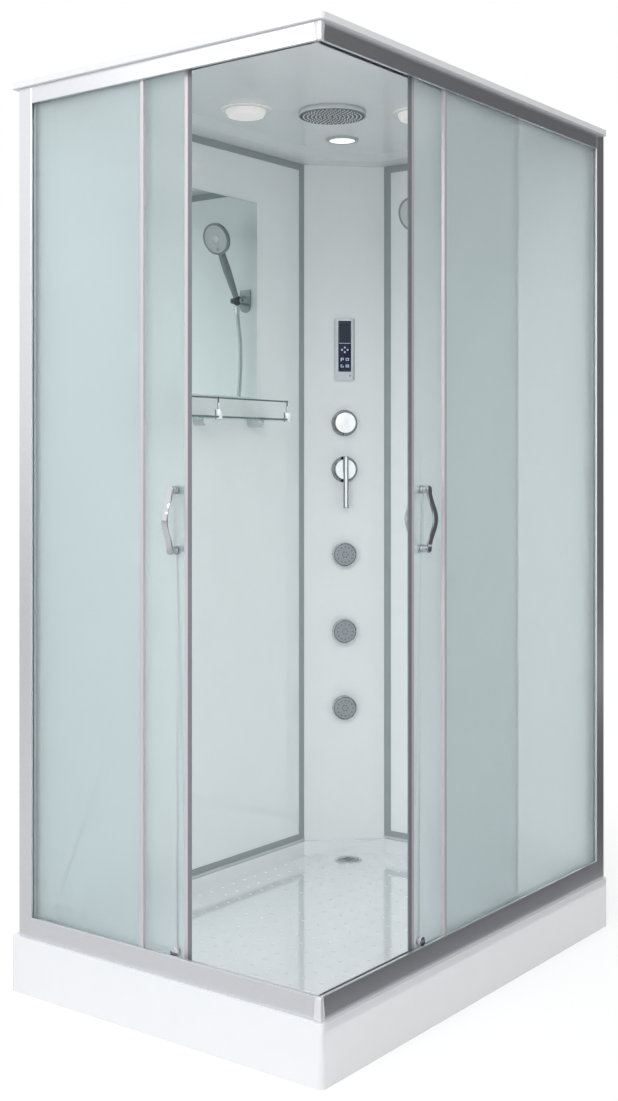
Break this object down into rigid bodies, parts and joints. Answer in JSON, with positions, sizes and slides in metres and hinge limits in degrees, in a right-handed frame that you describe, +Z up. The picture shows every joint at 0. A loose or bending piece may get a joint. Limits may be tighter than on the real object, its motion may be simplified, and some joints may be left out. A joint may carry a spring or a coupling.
{
  "type": "shower cabin",
  "caption": "Corner shower cabin with a low tray, sliding frosted doors, white glass walls, a column with taps and jets, shelf, mirror, hand shower and a roof with a rain head.",
  "frame": {"origin": "on the floor under the middle of the tray", "axes": "+Z up; +X from the left glass wall towards the long open side; +Y from the short open side towards the back glass wall; the open corner is at +X -Y"},
  "size_m": [0.92, 1.302, 2.175],
  "materials": {
    "acrylic_white": "glossy",
    "frame_steel": "zinc grey",
    "trap_plastic": "satin",
    "chrome": "polished",
    "dark_steel": "brushed",
    "rail_aluminium": "brushed and anodised",
    "bright_aluminium": "polished",
    "frame_grey": "matte",
    "frosted_glass": "frosted",
    "seal_rubber": "satin",
    "nylon": "satin",
    "white_glass": "glossy, painted white behind",
    "mirror": "polished",
    "clear_glass": "polished",
    "column_white": "glossy",
    "panel_silver": "satin",
    "screen_blue": "glossy",
    "key_grey": "satin",
    "jet_grey": "satin",
    "brass": "satin",
    "roof_white": "glossy",
    "rain_grey": "satin",
    "lamp_white": "diffusing",
    "fan_black": "satin",
    "hose_metal": "polished spiral"
  },
  "bodies": {
    "root": {"tray": "acrylic_white", "tray_frame": "frame_steel", "tray_feet": "frame_steel", "drain_trap": "trap_plastic", "drain_flange": "chrome", "bottom_rails": "rail_aluminium", "top_rails": "rail_aluminium", "corner_connectors": "bright_aluminium", "wall_posts": "rail_aluminium", "front_fixed_glass": "frosted_glass", "side_fixed_glass": "frosted_glass", "fixed_edges": "rail_aluminium", "left_wall_glass": "white_glass", "back_wall_glass": "white_glass", "wall_frames": "frame_grey", "column": "column_white", "mirror": "mirror", "shelf_glass": "clear_glass", "shelf_rail": "chrome", "shelf_brackets": "chrome", "control_bezel": "panel_silver", "control_screen": "screen_blue", "trim_rings": "chrome", "plumbing": "brass", "roof": "roof_white", "rain_head": "rain_grey", "lamp": "lamp_white", "ceiling_covers": "roof_white", "fan_housing": "fan_black", "holder_base": "chrome", "hose": "hose_metal", "outlet_elbow": "chrome"},
    "front_door": {"front_door_glass": "frosted_glass", "front_door_edge": "rail_aluminium", "front_door_seals": "seal_rubber", "front_door_handle": "chrome", "front_door_carriers": "nylon"},
    "front_wheel_a": {"front_wheel_a": "nylon"},
    "front_wheel_b": {"front_wheel_b": "nylon"},
    "side_door": {"side_door_glass": "frosted_glass", "side_door_edge": "rail_aluminium", "side_door_seals": "seal_rubber", "side_door_handle": "chrome", "side_door_carriers": "nylon"},
    "side_wheel_a": {"side_wheel_a": "nylon"},
    "side_wheel_b": {"side_wheel_b": "nylon"},
    "drain_cover": {"drain_cover": "dark_steel"},
    "mixer_cap": {"mixer_cap": "chrome"},
    "mixer_lever": {"mixer_lever": "chrome"},
    "diverter_knob": {"diverter_knob": "chrome"},
    "jet_face_a": {"jet_face_a": "jet_grey"},
    "jet_face_b": {"jet_face_b": "jet_grey"},
    "jet_face_c": {"jet_face_c": "jet_grey"},
    "nav_pad": {"nav_pad": "key_grey"},
    "key_upper": {"key_upper": "key_grey"},
    "key_lower": {"key_lower": "key_grey"},
    "fan_rotor": {"fan_rotor": "fan_black"},
    "hand_shower": {"holder_cradle": "chrome", "handset": "chrome"}
  },
  "joints": [
    {"name": "front_door_slide", "type": "slide", "parent": "root", "child": "front_door", "axis": [1, 0, 0], "range_m": [0, 0.339]},
    {"name": "front_wheel_a_spin", "type": "hinge", "parent": "front_door", "child": "front_wheel_a", "pos_m": [0.0369, -0.62, 0.1833], "axis": [0, 1, 0], "continuous": true},
    {"name": "front_wheel_b_spin", "type": "hinge", "parent": "front_door", "child": "front_wheel_b", "pos_m": [-0.345, -0.62, 0.1833], "axis": [0, 1, 0], "continuous": true},
    {"name": "side_door_slide", "type": "slide", "parent": "root", "child": "side_door", "axis": [0, -1, 0], "range_m": [0, 0.331]},
    {"name": "side_wheel_a_spin", "type": "hinge", "parent": "side_door", "child": "side_wheel_a", "pos_m": [0.429, -0.236, 0.1833], "axis": [1, 0, 0], "continuous": true},
    {"name": "side_wheel_b_spin", "type": "hinge", "parent": "side_door", "child": "side_wheel_b", "pos_m": [0.429, 0.1459, 0.1833], "axis": [1, 0, 0], "continuous": true},
    {"name": "drain_cover_lift", "type": "slide", "parent": "root", "child": "drain_cover", "axis": [0, 0, 1], "range_m": [0, 0.03]},
    {"name": "mixer_turn", "type": "hinge", "parent": "root", "child": "mixer_cap", "pos_m": [-0.32186, 0.52086, 1.233], "axis": [0.7071, -0.7071, 0], "range_deg": [-45, 45]},
    {"name": "mixer_lift", "type": "hinge", "parent": "mixer_cap", "child": "mixer_lever", "pos_m": [-0.32398, 0.52298, 1.233], "axis": [-0.7071, -0.7071, 0], "range_deg": [0, 25]},
    {"name": "diverter_turn", "type": "hinge", "parent": "root", "child": "diverter_knob", "pos_m": [-0.32539, 0.52439, 1.371], "axis": [0.7071, -0.7071, 0], "range_deg": [-60, 60]},
    {"name": "jet_tilt_a", "type": "hinge", "parent": "root", "child": "jet_face_a", "pos_m": [-0.32681, 0.52581, 0.98], "axis": [0.7071, 0.7071, 0], "range_deg": [-12, 12]},
    {"name": "jet_tilt_b", "type": "hinge", "parent": "root", "child": "jet_face_b", "pos_m": [-0.32681, 0.52581, 0.752], "axis": [0.7071, 0.7071, 0], "range_deg": [-12, 12]},
    {"name": "jet_tilt_c", "type": "hinge", "parent": "root", "child": "jet_face_c", "pos_m": [-0.32681, 0.52581, 0.525], "axis": [0.7071, 0.7071, 0], "range_deg": [-12, 12]},
    {"name": "nav_pad_press", "type": "slide", "parent": "root", "child": "nav_pad", "axis": [-0.7071, 0.7071, 0], "range_m": [0, 0.0008], "stiffness_N_per_m": 150},
    {"name": "key_upper_press", "type": "slide", "parent": "root", "child": "key_upper", "axis": [-0.7071, 0.7071, 0], "range_m": [0, 0.0008], "stiffness_N_per_m": 150},
    {"name": "key_lower_press", "type": "slide", "parent": "root", "child": "key_lower", "axis": [-0.7071, 0.7071, 0], "range_m": [0, 0.0008], "stiffness_N_per_m": 150},
    {"name": "fan_spin", "type": "hinge", "parent": "root", "child": "fan_rotor", "pos_m": [0.17, 0.152, 2.162], "axis": [0, 0, 1], "continuous": true},
    {"name": "hand_shower_tilt", "type": "hinge", "parent": "root", "child": "hand_shower", "pos_m": [-0.051, 0.578, 1.77], "axis": [1, 0, 0], "range_deg": [-20, 25]}
  ],
  "couplings": [
    {"joint": "front_wheel_a_spin", "follows": "front_door_slide", "rad_per_m": 90.909},
    {"joint": "front_wheel_b_spin", "follows": "front_door_slide", "rad_per_m": 90.909},
    {"joint": "side_wheel_a_spin", "follows": "side_door_slide", "rad_per_m": 90.909},
    {"joint": "side_wheel_b_spin", "follows": "side_door_slide", "rad_per_m": 90.909}
  ]
}
